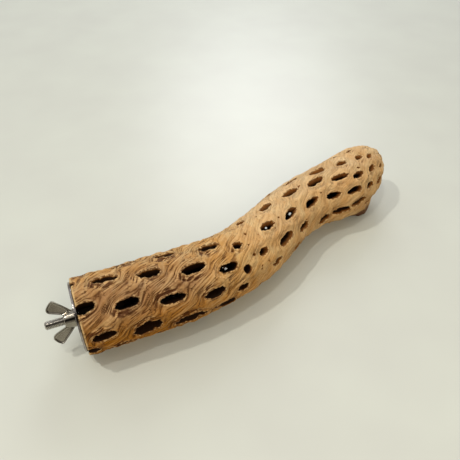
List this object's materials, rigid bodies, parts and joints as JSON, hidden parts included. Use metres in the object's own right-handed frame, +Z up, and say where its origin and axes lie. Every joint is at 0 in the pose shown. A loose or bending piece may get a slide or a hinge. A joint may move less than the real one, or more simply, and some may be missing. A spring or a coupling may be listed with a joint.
{
  "type": "cholla cactus skeleton",
  "caption": "Hollow cholla cactus wood with lens-shaped holes and a rounded far end; its sawn end carries a threaded stud with a disc washer and a wing nut, to fix it as a perch.",
  "frame": {"origin": "bottom centre of the whole part's box, on the surface that it lies on", "axes": "+Z up; +X from the stud and the sawn end towards the rounded far end, along the longest extent; +Y to the left of that"},
  "size_m": [0.3242, 0.1272, 0.0568],
  "materials": {
    "cholla_wood": "weathered, fibrous, unvarnished",
    "dowel_wood": "rough turned",
    "stainless_thread": "rolled thread",
    "stainless_disc": "polished, stamped",
    "stainless_nut": "cast and tumbled"
  },
  "bodies": {
    "stem": {"cholla_skeleton": "cholla_wood", "end_dowel": "dowel_wood", "threaded_stud": "stainless_thread"},
    "disc": {"disc_washer": "stainless_disc"},
    "nut": {"wing_nut": "stainless_nut"}
  },
  "joints": [
    {"name": "disc_travel", "type": "slide", "parent": "stem", "child": "disc", "axis": [-1, 0, 0], "range_m": [0, 0.013]},
    {"name": "wing_nut_turn", "type": "hinge", "parent": "disc", "child": "nut", "pos_m": [-0.146, -0.0351, 0.0288], "axis": [-1, 0, 0], "range_deg": [0, 4681]}
  ],
  "couplings": [
    {"joint": "wing_nut_turn", "follows": "disc_travel", "rad_per_m": 6283.2}
  ]
}
